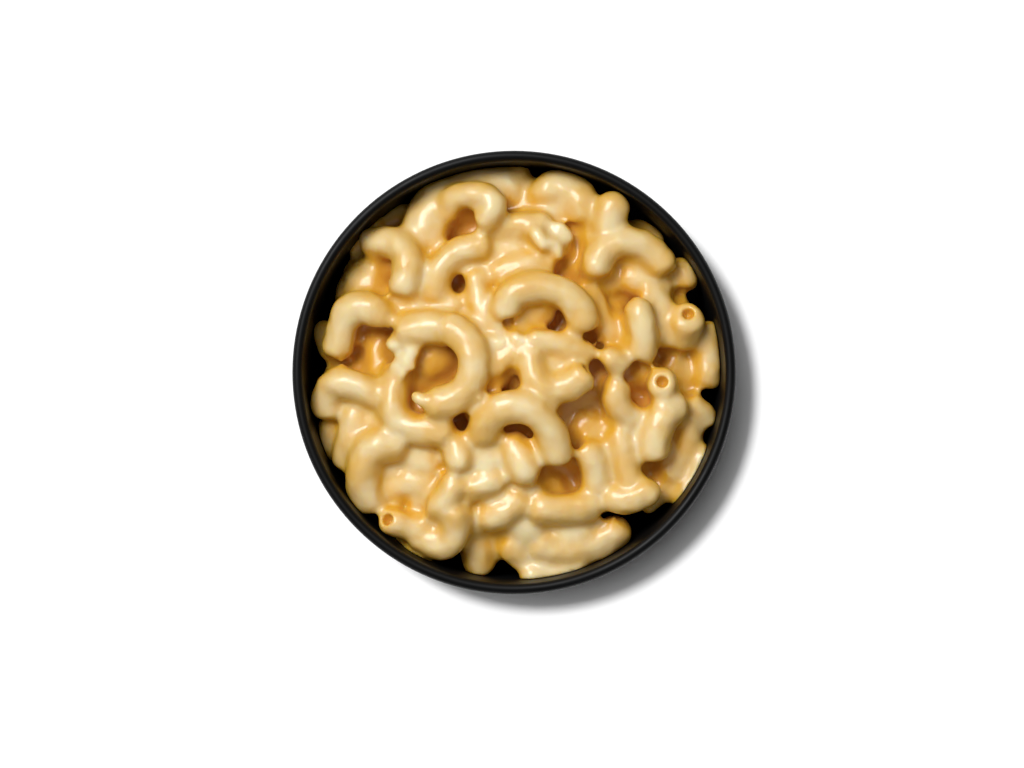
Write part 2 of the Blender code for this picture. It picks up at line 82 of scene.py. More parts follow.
# One row for each elbow of macaroni that shows: its name, the radius of its tube, and
# the corners that its spine is drawn round. A corner is x, y and the height above the
# mound, in millimetres.
ELBOWS = (
    # upper left
    ("a0", 3.6, (-48.0, 35.0, -8.0), (-43.5, 40.5, -7.0), (-37.0, 42.0, -9.0)),
    ("a1", 4.8, (-42.6, 36.0, -2.0), (-24.5, 40.0, 4.0), (-32.2, 21.3, 1.5)),
    ("a2", 4.1, (-18.6, 43.5, -3.0), (-19.2, 50.4, 3.0), (-6.4, 50.0, 5.5), (-5.8, 44.6, 5.0), (-10.4, 41.6, 3.0)),
    ("a4", 4.2, (-19.0, 52.5, -5.5), (-10.0, 55.0, -3.5), (-2.0, 54.0, -5.0)),
    ("a5", 4.3, (0.8, 58.0, -6.5), (0.0, 53.0, -3.0), (-2.0, 46.5, -5.0)),
    # top
    ("b1", 5.6, (8.0, 47.5, -2.5), (9.5, 53.8, -1.0), (20.0, 49.4, 0.0), (19.2, 41.6, -3.0)),
    ("b2", 3.8, (-9.0, 38.5, -3.0), (-2.0, 42.6, 1.0), (10.0, 41.3, 0.5)),
    ("b3", 3.5, (5.5, 40.5, 0.5), (9.0, 35.5, 1.0), (15.0, 35.3, -2.5)),
    ("b4", 4.3, (-6.5, 36.3, 0.0), (-22.0, 35.5, 1.5), (-22.6, 20.3, -2.5)),
    ("b5", 3.4, (-25.0, 22.8, -4.0), (-20.0, 20.8, -2.5), (-14.8, 18.3, -3.5)),
    ("b6", 3.5, (-10.4, 28.4, -2.2), (-11.6, 14.0, -1.0), (-1.5, 11.2, -3.5)),
    ("b7", 4.75, (-1.8, 15.0, 0.5), (-4.0, 23.8, 3.0), (18.0, 24.0, 3.5), (20.0, 11.5, 1.0)),
    ("b8", 4.2, (-6.0, 26.0, -4.0), (2.0, 32.5, -1.0), (11.5, 28.5, -3.5)),
    ("b9", 3.8, (2.0, 15.5, -5.5), (6.5, 18.5, -3.5), (10.2, 14.8, -6.0)),
    ("b10", 4.6, (4.5, 7.5, -1.0), (4.5, -4.5, 1.0), (16.0, -5.2, 1.5), (20.8, 0.8, 3.5)),
    ("b11", 3.7, (4.0, 8.8, 0.0), (14.0, 9.0, 1.0), (22.0, 4.3, -1.5)),
    ("b12", 2.9, (-7.0, 0.3, -1.0), (-2.5, 3.0, 0.5), (1.0, 8.0, -1.0)),
    # left
    ("d1", 4.7, (-50.2, 4.5, -1.0), (-49.0, 18.3, 1.5), (-38.5, 18.8, 2.5), (-37.2, 13.5, -1.0)),
    ("d2", 4.6, (-47.0, 18.5, -9.0), (-47.5, 29.0, -7.5), (-36.5, 27.3, -9.0)),
    ("d3", 3.9, (-53.0, 14.0, -7.5), (-53.9, 10.0, -6.0), (-51.0, 4.5, -8.0)),
    ("d4", 4.5, (-52.8, -12.5, -3.0), (-54.2, -3.0, 0.0), (-44.0, -3.0, 1.0), (-37.0, -7.5, -2.5)),
    ("d5", 4.6, (-32.0, 2.0, -4.5), (-34.5, -4.0, -1.0), (-33.0, -17.5, 0.5), (-17.0, -16.3, -0.5)),
    ("d6", 4.7, (-25.6, -8.6, 2.8), (-13.0, -9.0, 3.0), (-10.0, 9.5, 3.0), (-20.0, 13.5, 2.0)),
    ("d7", 5.0, (-33.0, 11.6, 0.0), (-25.0, 13.6, 2.2), (-16.5, 11.5, -1.0)),
    ("d9", 4.3, (-38.0, 11.5, -9.0), (-39.5, 5.0, -7.5), (-37.5, -2.0, -8.0)),
    ("d10", 4.3, (-44.0, -9.5, -4.0), (-45.5, -19.0, -1.0), (-48.8, -26.8, -4.5)),
    ("d11", 4.3, (-51.5, -12.0, -8.5), (-52.5, -19.0, -7.5), (-49.0, -24.0, -9.0)),
    # lower left
    ("g1", 5.1, (-30.5, -21.0, -2.0), (-40.5, -18.3, 1.5), (-44.0, -31.0, 1.0), (-39.8, -38.5, -2.0)),
    ("g3", 4.6, (-36.5, -35.0, -5.5), (-31.5, -29.5, -3.5), (-21.5, -31.0, -5.0)),
    ("g4", 4.1, (-36.0, -41.4, 4.5), (-33.5, -43.2, -0.5), (-23.5, -45.0, 0.0)),
    ("g5", 4.6, (-28.0, -44.5, -0.5), (-24.5, -48.2, 0.5), (-15.5, -49.0, 1.0), (-16.8, -37.0, 1.5)),
    ("g6", 4.1, (-24.5, -37.5, 0.5), (-19.5, -39.0, 2.0), (-16.0, -29.5, 1.0)),
    ("g7", 4.2, (-15.2, -27.5, 1.0), (-15.8, -22.0, 1.5), (-17.5, -18.5, -3.0)),
    ("g8", 4.3, (-19.0, -31.0, -2.0), (-11.0, -34.0, 0.5), (-3.5, -29.0, -2.5)),
    ("g9", 3.8, (-32.5, -44.0, -7.0), (-27.0, -49.0, -6.0), (-20.0, -50.0, -8.0)),
    # bottom
    ("h1", 4.7, (-8.5, -19.5, -1.5), (-8.8, -9.6, 2.5), (10.0, -9.4, 4.0), (12.9, -25.5, 0.5)),
    ("h2", 4.7, (3.7, -32.3, 0.5), (3.2, -25.5, 1.5), (-1.5, -18.0, -4.0)),
    ("h3", 4.0, (-13.0, -6.5, -5.0), (-10.5, -9.5, -4.0), (-8.5, -14.0, -5.0)),
    ("h5", 4.5, (-9.3, -41.0, -2.5), (-2.0, -41.0, -1.0), (2.2, -34.0, -3.5)),
    ("h6", 4.8, (4.5, -37.3, -3.0), (14.0, -40.6, -1.0), (24.0, -36.4, -3.0)),
    ("h7", 5.2, (5.5, -47.0, -5.5), (17.5, -55.5, -3.5), (32.2, -42.2, -5.0)),
    ("h8", 4.3, (-2.5, -47.0, -6.0), (0.5, -50.5, -5.0), (3.5, -53.5, -7.0)),
    ("h9", 4.8, (-11.3, -46.0, -7.0), (-11.2, -52.0, -7.0), (-8.8, -57.2, -8.0)),
    # lower right
    ("i1", 4.6, (18.5, -21.0, -3.5), (24.8, -24.3, -2.0), (22.5, -34.0, -4.5)),
    ("i2", 3.9, (28.6, -15.5, -3.5), (31.0, -24.0, -1.0), (33.3, -32.5, -1.0)),
    ("i3", 4.2, (26.0, -33.5, -2.5), (31.5, -39.8, 1.5), (40.6, -31.5, 3.0)),
    ("i4", 4.9, (47.5, -9.0, -1.5), (38.8, -9.8, 1.5), (39.6, -25.0, 0.5)),
    ("i5", 4.6, (41.7, -2.5, 4.5), (41.9, -4.0, -2.0), (43.0, -7.5, -8.0)),
    ("i6", 4.9, (49.2, 16.8, 4.2), (49.0, 15.2, -0.5), (46.6, 7.0, -5.5)),
    ("i7", 4.4, (54.4, 14.5, -5.5), (55.8, 4.0, -4.5), (53.8, -4.0, -6.0)),
    ("i8", 3.6, (48.5, -8.0, -3.5), (53.0, -9.8, -2.5), (55.8, -15.0, -4.0)),
    ("i9", 4.8, (49.5, -12.0, -6.0), (50.3, -21.5, -4.6), (42.6, -30.8, -6.5)),
    ("i10", 3.9, (44.0, -27.5, -8.0), (42.5, -33.0, -6.0), (36.0, -38.5, -7.0)),
    ("i11", 4.4, (30.8, -2.4, -2.5), (25.6, -8.0, 0.0), (34.5, -13.8, -3.5)),
    ("i12", 4.4, (34.0, 21.6, 2.0), (35.2, 15.0, 3.0), (37.0, 8.5, 1.5), (34.6, 3.4, 0.0)),
    ("i14", 3.6, (24.8, 3.6, 0.0), (28.2, 4.6, 1.5), (31.2, 0.8, 0.0)),
    ("i13", 4.2, (19.5, -18.0, -8.0), (25.0, -16.0, -7.0), (30.5, -13.0, -8.0)),
    # upper right
    ("c1", 5.0, (28.4, 51.2, 5.0), (27.6, 45.0, 4.5), (25.5, 38.0, -1.0)),
    ("c2", 4.8, (23.5, 26.4, 0.0), (22.6, 35.4, 1.5), (38.2, 37.6, 2.5), (43.0, 27.8, 1.0)),
    ("c3", 3.5, (44.5, 30.5, -5.0), (49.5, 28.8, -3.0), (48.5, 23.8, -4.5)),
    ("c4", 4.3, (36.0, 25.5, -4.0), (43.0, 20.0, -2.0), (43.6, 7.0, -4.5)),
    ("c5", 3.6, (32.5, 41.0, -11.0), (37.5, 40.0, -9.5), (41.5, 35.5, -10.0)),
    ("c7", 3.9, (19.5, 26.0, -4.8), (23.5, 17.5, -3.2), (27.5, 9.0, -5.0)),
    ("c8", 4.1, (25.0, 24.5, -7.5), (32.0, 28.0, -5.5), (38.5, 25.0, -7.5)),
    ("c9", 3.7, (18.8, 40.5, -6.0), (18.6, 35.0, -5.0), (15.8, 29.5, -7.0)),
)

# Sauce that lies in masses and torn lumps, in rows like those above: what fills a gap,
# what is pressed against the wall, and crumbs of set sauce on top.
MASSES = (
    # over and between the elbows
    ("top_left", 7.5, (-26.0, 31.5, -6.0), (-25.6, 45.0, -4.5), (-15.5, 50.2, -4.5), (4.0, 52.0, -6.0)),
    ("left", 10.0, (-42.0, 14.5, -12.2), (-42.8, 27.2, -10.4), (-33.0, 29.5, -11.0)),
    ("top", 7.0, (4.0, 54.0, -6.0), (9.5, 46.0, -5.0), (19.0, 43.0, -6.5)),
    ("left_gap", 6.0, (-43.0, -9.0, -6.5), (-38.5, -13.5, -5.5), (-35.0, -19.0, -6.5)),
    ("lower_left", 6.5, (-31.0, -28.0, -7.0), (-25.0, -34.0, -6.0), (-17.0, -36.5, -7.0)),
    ("bottom", 6.5, (-3.0, -39.5, -7.5), (3.0, -43.0, -6.5), (10.0, -45.0, -7.5)),
    ("bottom_right", 5.5, (9.0, -46.5, -6.5), (15.5, -46.0, -6.0), (23.0, -43.0, -6.5)),
    ("upper_left_gap", 6.0, (-37.5, 18.0, -6.0), (-31.0, 20.0, -5.0), (-22.0, 18.0, -6.0)),
    ("ring_floor", 10.0, (-28.0, 10.0, -12.3), (-21.5, 4.5, -12.3), (-18.0, -3.0, -12.0)),
    ("lower_left_gap", 7.0, (-31.0, -22.5, -7.5), (-25.0, -25.0, -6.5), (-18.5, -24.5, -7.5)),
    ("lower_middle", 6.5, (-12.5, -19.0, -5.5), (-8.5, -24.0, -4.0), (-5.0, -29.0, -5.5)),
    ("lower_pit", 6.0, (-14.5, -36.0, -6.5), (-11.0, -39.0, -5.5), (-9.5, -46.0, -6.5)),
    ("centre_right", 6.5, (6.0, 6.0, -5.5), (11.5, 2.5, -4.5), (16.5, 3.5, -5.5)),
    ("upper_middle", 7.0, (-13.0, 29.0, -8.5), (-2.5, 35.5, -5.8), (5.5, 36.0, -6.5)),
    ("top_gap", 4.5, (2.0, 53.5, -6.5), (3.0, 47.5, -5.0), (3.5, 42.0, -6.0)),
    ("bottom_gap", 5.5, (0.0, -33.0, -6.5), (4.5, -33.0, -5.5), (8.0, -35.5, -6.5)),
    ("centre_left", 6.0, (-9.5, 2.5, -6.5), (-5.8, -1.0, -5.0), (-4.0, -5.5, -6.0)),
    ("centre_top", 6.0, (-3.5, 13.5, -7.0), (1.5, 13.0, -6.0), (6.0, 10.0, -7.0)),
    ("right_gap", 6.0, (27.0, 17.5, -7.0), (29.8, 12.5, -6.0), (28.0, 4.5, -8.4)),
    ("left_edge", 6.0, (-37.5, -31.0, -7.5), (-34.0, -26.5, -6.5), (-30.0, -25.0, -7.5)),
    ("right_middle", 5.5, (28.5, 28.5, -6.0), (36.0, 27.0, -4.0), (44.5, 22.0, -6.0)),
    ("right_slope", 7.0, (15.0, -12.0, -12.6), (20.0, -15.5, -10.6), (26.5, -18.0, -9.4)),
    ("right_low", 6.5, (49.0, -13.0, -9.0), (47.0, -22.0, -8.2), (40.5, -28.5, -9.0)),
    ("upper_right_gap", 6.0, (13.0, 32.0, -8.4), (18.0, 31.0, -7.6), (21.5, 24.5, -8.4)),
    ("right_knob", 5.6, (35.2, 12.5, -1.4), (36.2, 9.0, -0.8), (35.4, 5.5, -2.0)),
    ("upper_right_knee", 5.2, (25.8, 41.5, -3.0), (23.6, 37.0, -1.8), (22.9, 31.0, -1.8)),
    ("right_low_gap", 5.5, (31.5, 1.5, -8.4), (36.5, -1.0, -7.6), (41.0, 1.5, -8.4)),
    ("shaded_top_left", 4.0, (-39.5, 39.5, -12.0), (-32.5, 44.0, -10.0), (-28.0, 47.0, -11.0)),
    # on the wall
    ("wall_right", 3.6, (54.6, -20.5, -2.0), (52.5, -30.0, -1.5), (45.0, -37.5, -2.5)),
    ("wall_bottom", 3.4, (1.5, -57.0, -2.5), (11.0, -58.5, -1.5), (21.0, -54.5, -2.5)),
    ("wall_lower_left", 2.8, (-31.5, -49.5, -2.5), (-28.5, -52.0, -2.0), (-24.0, -54.0, -2.5)),
    # torn lumps
    ("lump_0", 2.3, (-36.0, 9.3, 0.0), (-34.0, 7.5, 1.5), (-31.5, 7.0, 1.0)),
    ("lump_1", 2.0, (-30.5, 6.5, 1.0), (-28.5, 5.5, 2.0), (-26.5, 5.5, 0.5)),
    ("lump_2", 2.2, (-32.5, 4.5, 0.5), (-30.0, 3.0, 1.5), (-27.8, 0.5, 0.5)),
    ("lump_3", 1.9, (-34.8, 3.0, 0.0), (-32.5, 0.5, 1.0), (-30.0, -1.5, 1.5)),
    ("lump_4", 2.2, (5.0, 41.0, 3.0), (7.5, 38.0, 4.5), (9.5, 34.0, 2.5)),
    ("lump_5", 2.3, (11.0, 42.0, 2.5), (14.0, 40.0, 3.5), (15.8, 36.5, 1.0)),
    ("lump_6", 2.0, (10.0, 38.0, 3.5), (12.5, 35.5, 3.5), (12.8, 31.0, 1.0)),
    ("lump_7", 2.0, (-29.0, -7.0, 4.0), (-26.5, -6.5, 6.0), (-25.0, -9.5, 4.5)),
    ("lump_8", 2.2, (-7.5, 10.0, -1.0), (-5.0, 7.5, 0.5), (-2.0, 8.5, 0.0)),
    ("lump_9", 2.0, (-5.0, 3.5, -0.5), (-2.0, 6.0, 1.0), (1.5, 5.0, 0.5)),
    ("lump_10", 1.8, (-1.0, 11.5, 0.0), (1.0, 9.0, 1.5), (3.5, 7.5, 0.5)),
    ("lump_11", 2.1, (-8.0, -1.0, -0.5), (-6.0, 1.5, 0.5), (-4.5, 2.5, 0.0)),
)

# Elbows whose end shows its hole: which end of the spine it is.
OPEN_ENDS = {
    "i5": ("start",),
    "i6": ("start",),
    "g4": ("start",),
    "b10": ("end",),
    "b7": ("start", "end"),
}
# Elbows whose end the sauce has rounded over.
DOMED_ENDS = {
    "c1": ("start",),
    "d6": ("start",),
    "h2": ("start",),
    "h7": ("end",),
    "i3": ("end",),
    "i12": ("start",),
}

# The mound that the elbows lie on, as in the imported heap.
MOUND_TOP = 45.5
MOUND_FALL = 11.5
MOUND_RADIUS = 56.0

# The second layer, which shows only in the gaps of the first and leaves the deepest hollows open.
LOWER_COUNT = 44
LOWER_REACH = 50.0
LOWER_TUBE = 4.4
LOWER_LIFT = -9.5
LOWER_HALF_SPAN = 7.0
LOWER_BOW = 9.0
LOWER_SEED = 11
LOWER_OPEN_DEPTH = 7.0
GOLDEN_ANGLE = math.pi * (3.0 - math.sqrt(5.0))

# What lies under both layers: a plain core, narrower than the room in the bowl.
CORE_DEPTH = 6.8
CORE_RADIUS = 36.0
CORE_FOOT_RADIUS = 48.0
CORE_FOOT_HEIGHT = 13.0
CORE_BOTTOM = 9.0
CORE_RINGS = 32
CORE_TURNS = 120
# Hollows in the sauce between the elbows: x, y, radius and depth in millimetres.
PITS = (
    (-14.6, 42.3, 2.5, 6.0),
    (-16.2, 24.6, 3.0, 3.0),
    (-41.8, 11.0, 4.0, 4.0),
    (-34.0, 14.0, 2.5, 3.0),
    (-15.6, -11.0, 3.5, 4.5),
    (-30.8, -37.6, 3.0, 9.0),
    (3.4, -15.5, 4.0, 5.0),
    (12.6, -29.9, 3.5, 8.0),
    (0.4, -2.6, 2.0, 4.0),
    (26.0, -3.3, 2.5, 5.0),
    (35.2, -3.7, 2.5, 5.0),
    (48.1, -3.7, 2.5, 5.0),
    (24.4, 7.1, 2.5, 4.0),
    (12.3, 13.6, 2.2, 6.0),
    (2.5, 19.5, 4.0, 5.0),
    (18.3, 40.1, 2.0, 5.0),
    (17.8, 27.6, 2.0, 3.0),
)
FOOD_BOTTOM = 12.0

SIDES = 16
SPINE_STEP = 1.1
LIP = 0.45
EDGE = 0.62
OPEN_COVER = 1.5
DIMPLE_RADIUS = 1.75
DIMPLE_DEPTH = 3.2
SPINE_SAMPLES = 16


def linear(code):
    """An sRGB hex colour as linear red, green, blue and alpha."""
    shades = [int(code[i : i + 2], 16) / 255.0 for i in (1, 3, 5)]
    return (*[s / 12.92 if s <= 0.04045 else ((s + 0.055) / 1.055) ** 2.4 for s in shades], 1.0)


# ---------------------------------------------------------------- sizes and colours


class BowlSettings(bpy.types.PropertyGroup):
    """The bowl's sizes and colour."""

    rim_radius: bpy.props.FloatProperty(
        name="Rim radius",
        description="Outer radius of the bowl at its rim",
        default=(BOWL_BOX[1].x - BOWL_BOX[0].x) / 2,
        unit="LENGTH",
    )
    height: bpy.props.FloatProperty(
        name="Height", description="Height of the rim", default=BOWL_BOX[1].z, unit="LENGTH"
    )
    wall: bpy.props.FloatProperty(
        name="Wall", description="Thickness of the wall and its round lip", default=3.0 * MM, unit="LENGTH"
    )
    floor: bpy.props.FloatProperty(
        name="Floor", description="Thickness of the floor", default=3.5 * MM, unit="LENGTH"
    )
    heel_radius: bpy.props.FloatProperty(
        name="Heel radius", description="Outer radius where the side meets its rounded heel",
        default=60.5 * MM, unit="LENGTH",
    )
    heel_height: bpy.props.FloatProperty(
        name="Heel height", description="Height of the rounded heel", default=16.0 * MM, unit="LENGTH"
    )
    base_radius: bpy.props.FloatProperty(
        name="Base radius", description="Radius of the flat underside", default=44.0 * MM, unit="LENGTH"
    )
    colour: bpy.props.FloatVectorProperty(
        name="Colour", description="Colour of the melamine", default=linear("#0E0E0E")[:3],
        subtype="COLOR", min=0.0, max=1.0,
    )


class MacaroniSettings(bpy.types.PropertyGroup):
    """The shape and colour of the bare macaroni."""

    bore: bpy.props.FloatProperty(
        name="Bore", description="Width of the hole as a share of the tube's width",
        default=0.42, min=0.1, max=0.8, subtype="FACTOR",
    )
    colour: bpy.props.FloatVectorProperty(
        name="Colour", description="Colour of the cooked pasta", default=linear("#EBC069")[:3],
        subtype="COLOR", min=0.0, max=1.0,
    )


class SauceSettings(bpy.types.PropertyGroup):
    """How the cheese sauce lies, and its colours, some of which are painted into it as shade."""

    film: bpy.props.FloatProperty(
        name="Film", description="Thickness of the sauce over the macaroni", default=0.95 * MM, unit="LENGTH"
    )
    fillet: bpy.props.FloatProperty(
        name="Fillet", description="Radius of the sauce where two macaroni meet",
        default=0.9 * MM, unit="LENGTH",
    )
    grain: bpy.props.FloatProperty(
        name="Grain", description="Size of the faces of the sauce", default=0.55 * MM, unit="LENGTH"
    )
    cream: bpy.props.FloatVectorProperty(
        name="Cream", description="Colour of thick sauce", default=linear("#F3EAC5")[:3],
        subtype="COLOR", min=0.0, max=1.0,
    )
    # Real colour of a thin film over pasta, and also painted on the sides that see less of the sky as painted
    # shade.
    golden: bpy.props.FloatVectorProperty(
        name="Golden", description="Colour of a thin film of sauce over pasta", default=linear("#E1AD34")[:3],
        subtype="COLOR", min=0.0, max=1.0,
    )
    # Painted shade: this colour is painted into the hollows between the macaroni, where shade falls.
    painted_hollow_shade: bpy.props.FloatVectorProperty(
        name="Deep", description="Colour of the sauce deep between the macaroni", default=linear("#CF903E")[:3],
        subtype="COLOR", min=0.0, max=1.0,
    )


class StageSettings(bpy.types.PropertyGroup):
    """The light, the floor and the camera."""

    view_width: bpy.props.FloatProperty(
        name="View width", description="Width that the camera sees at the height of the rim",
        default=288.2 * MM, unit="LENGTH",
    )
    lens: bpy.props.FloatProperty(name="Lens", description="Focal length in millimetres", default=200.0)
    key_strength: bpy.props.FloatProperty(
        name="Key strength", description="Light that the key gives a surface facing it", default=2.5
    )
    key_size: bpy.props.FloatProperty(
        name="Key size", description="Angle that the key light spans", default=math.radians(28.0),
        subtype="ANGLE",
    )
    key_tilt: bpy.props.FloatProperty(
        name="Key tilt", description="Angle of the key light from straight above",
        default=math.radians(33.0), subtype="ANGLE",
    )
    key_side: bpy.props.FloatProperty(
        name="Key side", description="Direction that the key comes from, turned from +X",
        default=math.radians(130.0), subtype="ANGLE",
    )
    bounce_strength: bpy.props.FloatProperty(
        name="Bounce strength", description="Light from all round above that only the food gets", default=0.9
    )
    bounce_size: bpy.props.FloatProperty(
        name="Bounce size", description="Angle that the bounce spans", default=math.radians(115.0),
        subtype="ANGLE",
    )
    overhead_strength: bpy.props.FloatProperty(
        name="Overhead strength", description="Light that the overhead lamp gives the floor", default=2.55
    )
    overhead_size: bpy.props.FloatProperty(
        name="Overhead size", description="Angle that the overhead lamp spans",
        default=math.radians(5.0), subtype="ANGLE",
    )
    overhead_tilt: bpy.props.FloatProperty(
        name="Overhead tilt", description="Angle of the overhead lamp from straight above",
        default=math.radians(12.8), subtype="ANGLE",
    )
    overhead_side: bpy.props.FloatProperty(
        name="Overhead side", description="Direction that the overhead lamp comes from, turned from +X",
        default=math.radians(140.0), subtype="ANGLE",
    )
    haze_strength: bpy.props.FloatProperty(
        name="Haze strength", description="Light that the wide haze round the overhead lamp gives the floor",
        default=1.3,
    )
    haze_size: bpy.props.FloatProperty(
        name="Haze size", description="Angle that the haze spans", default=math.radians(24.0), subtype="ANGLE"
    )
    fill: bpy.props.FloatProperty(
        name="Fill", description="Brightness of the light from all round", default=0.08
    )
    floor_colour: bpy.props.FloatVectorProperty(
        name="Floor", description="Colour of the floor", default=linear("#F7F7F7")[:3],
        subtype="COLOR", min=0.0, max=1.0,
    )


# ---------------------------------------------------------------- small helpers


def add_node(tree, kind, inputs=(), **settings):
    """Adds a node, sets its settings, and sets or links its inputs."""
    node = tree.nodes.new(kind)
    for name, value in settings.items():
        setattr(node, name, value)
    for name, value in dict(inputs).items():
        if isinstance(value, bpy.types.NodeSocket):
            tree.links.new(value, node.inputs[name])
        else:
            node.inputs[name].default_value = value
    return node


def new_material(name):
    """An empty node material and its tree."""
    material = bpy.data.materials.new(name)
    material.use_nodes = True
    material.node_tree.nodes.clear()
    return material, material.node_tree


def per(size):
    """Scale of a pattern on object coordinates whose grain is this many millimetres."""
    return 1.0 / (size * MM)


def finish_piece(name, mesh, material, replaced):
    """A mesh becomes a piece of the object: smooth, with its material, riding on the body."""
    mesh.name = name
    piece = bpy.data.objects.new(name, mesh)
    bpy.context.scene.collection.objects.link(piece)
    mesh.materials.clear()
    mesh.materials.append(material)
    mesh.shade_smooth()
    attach(piece, "root")
    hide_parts(replaced)
    return piece


def mesh_of(shape, name):
    mesh = bpy.data.meshes.new(name)
    shape.to_mesh(mesh)
    shape.free()
    return mesh


def run_modifiers(mesh, build):
    """The mesh as it is after the modifiers that build() puts on it."""
    helper = bpy.data.objects.new("helper", mesh)
    bpy.context.scene.collection.objects.link(helper)
    build(helper)
    graph = bpy.context.evaluated_depsgraph_get()
    result = bpy.data.meshes.new_from_object(helper.evaluated_get(graph), depsgraph=graph)
    bpy.data.objects.remove(helper, do_unlink=True)
    return result


# ---------------------------------------------------------------- the bowl


def cup(bowl, inset, floor, steps):
    """The bowl's outer side, moved in by an inset, from the middle of its floor up to the lip."""
    heel = bowl.heel_radius - inset
    base = bowl.base_radius - inset
    points = [(0.0, floor)]
    for step in range(steps + 1):
        angle = math.pi / 2 * step / steps
        radius = base + (heel - base) * math.sin(angle)
        points.append((radius, bowl.heel_height - (bowl.heel_height - floor) * math.cos(angle)))
    points.append((bowl.rim_radius - inset, bowl.height - bowl.wall / 2))
    return points


def inner_radius(bowl, height):
    """Radius of the bowl's inside at a height."""
    heel = bowl.heel_radius - bowl.wall
    if height >= bowl.heel_height:
        rise = (height - bowl.heel_height) / (bowl.height - bowl.wall / 2 - bowl.heel_height)
        return heel + (bowl.rim_radius - bowl.heel_radius) * rise
    base = bowl.base_radius - bowl.wall
    drop = min(1.0, (bowl.heel_height - height) / (bowl.heel_height - bowl.floor))
    return base + (heel - base) * math.sqrt(1.0 - drop * drop)


HEEL_STEPS = 14
LIP_STEPS = 12
TURN_STEPS = 160


def bowl_profile(bowl):
    """The bowl's outline from the middle of its inside, over the lip, to the middle of its underside."""
    half = bowl.wall / 2
    inside = cup(bowl, bowl.wall, bowl.floor, HEEL_STEPS)
    outside = cup(bowl, 0.0, 0.0, HEEL_STEPS)
    lip = []
    for step in range(1, LIP_STEPS):
        angle = math.pi * (1.0 - step / LIP_STEPS)
        radius = bowl.rim_radius - half + half * math.cos(angle)
        lip.append((radius, bowl.height - half + half * math.sin(angle)))
    return [*inside, *lip, *reversed(outside)]


def turned(profile, steps):
    """A profile of (radius, height) points turned round the Z axis into a closed bmesh."""
    shape = bmesh.new()
    verts = [shape.verts.new((radius, 0.0, height)) for radius, height in profile]
    edges = [shape.edges.new(pair) for pair in zip(verts, verts[1:])]
    bmesh.ops.spin(
        shape, geom=[*verts, *edges], cent=(0, 0, 0), axis=(0, 0, 1), angle=2.0 * math.pi,
        steps=steps, use_merge=True,
    )
    bmesh.ops.remove_doubles(shape, verts=shape.verts, dist=0.01 * MM)
    bmesh.ops.recalc_face_normals(shape, faces=shape.faces)
    return shape


def melamine(colour):
    """Melamine, press-moulded in a satin tool: near black, with a soft even sheen."""
    material, tree = new_material("Satin black melamine, moulded")
    place = add_node(tree, "ShaderNodeTexCoord").outputs["Object"]
    skin = add_node(tree, "ShaderNodeTexNoise", {"Vector": place, "Scale": per(0.5), "Detail": 2.0})
    haze = add_node(tree, "ShaderNodeTexNoise", {"Vector": place, "Scale": per(9.0), "Detail": 3.0})
    rough = add_node(
        tree, "ShaderNodeMapRange",
        {"Value": haze.outputs["Fac"], "From Min": 0.3, "From Max": 0.7, "To Min": 0.42, "To Max": 0.52},
    )
    bump = add_node(
        tree, "ShaderNodeBump", {"Height": skin.outputs["Fac"], "Distance": 0.01 * MM, "Strength": 0.6}
    )
    shader = add_node(
        tree, "ShaderNodeBsdfPrincipled",
        {"Base Color": (*colour, 1.0), "Roughness": rough.outputs["Result"], "IOR": 1.5,
         "Specular IOR Level": 0.22, "Normal": bump.outputs["Normal"]},
    )
    add_node(tree, "ShaderNodeOutputMaterial", {"Surface": shader.outputs["BSDF"]})
    return material


# ---------------------------------------------------------------- the macaroni


def mound(x, y):
    """Height in millimetres of the mound that the elbows lie on."""
    return MOUND_TOP - MOUND_FALL * (x * x + y * y) / MOUND_RADIUS**2


def lower_elbows():
    """Rows like those of ELBOWS for the second layer."""
    draw = random.Random(LOWER_SEED)
    rows = []
    hollows = [Vector((x, y)) for x, y, _, depth in PITS if depth >= LOWER_OPEN_DEPTH]
    for index in range(LOWER_COUNT):
        reach = LOWER_REACH * math.sqrt((index + 0.5) / LOWER_COUNT)
        x = reach * math.cos(index * GOLDEN_ANGLE)
        y = reach * math.sin(index * GOLDEN_ANGLE)
        heading = draw.uniform(0.0, 2.0 * math.pi)
        along_x, along_y = math.cos(heading), math.sin(heading)
        tilt = draw.uniform(-1.5, 1.5)
        start = (x - LOWER_HALF_SPAN * along_x, y - LOWER_HALF_SPAN * along_y, LOWER_LIFT - tilt)
        bend = (x - LOWER_BOW * along_y, y + LOWER_BOW * along_x, LOWER_LIFT)
        end = (x + LOWER_HALF_SPAN * along_x, y + LOWER_HALF_SPAN * along_y, LOWER_LIFT + tilt)
        spots = [Vector(spot[:2]) for spot in (start, end)] + [Vector((x, y))]
        if any((hollow - spot).length < LOWER_HALF_SPAN for hollow in hollows for spot in spots):
            continue
        rows.append((f"lower_{index}", LOWER_TUBE, start, bend, end))
    return rows


class Spine:
    """The middle line of an elbow, measured along its length in millimetres."""

    def __init__(self, corners):
        corners = [Vector((x, y, mound(x, y) + lift)) for x, y, lift in corners]
        middles = [(a + b) / 2 for a, b in zip(corners[1:], corners[2:-1])]
        joints = [corners[0], *middles, corners[-1]]
        self.points = [joints[0]]
        for start, bend, end in zip(joints, corners[1:], joints[1:]):
            for step in range(1, SPINE_SAMPLES + 1):
                t = step / SPINE_SAMPLES
                self.points.append(start * (1 - t) ** 2 + bend * (2 * t * (1 - t)) + end * t * t)
        self.marks = [0.0]
        for a, b in zip(self.points, self.points[1:]):
            self.marks.append(self.marks[-1] + (b - a).length)
        self.length = self.marks[-1]

    def at(self, distance):
        """The point at this distance from the start, and the direction there."""
        low, high = 0, len(self.points) - 1
        while high - low > 1:
            middle = (low + high) // 2
            if self.marks[middle] <= distance:
                low = middle
            else:
                high = middle
        heading = (self.points[high] - self.points[low]).normalized()
        return self.points[low] + heading * (distance - self.marks[low]), heading


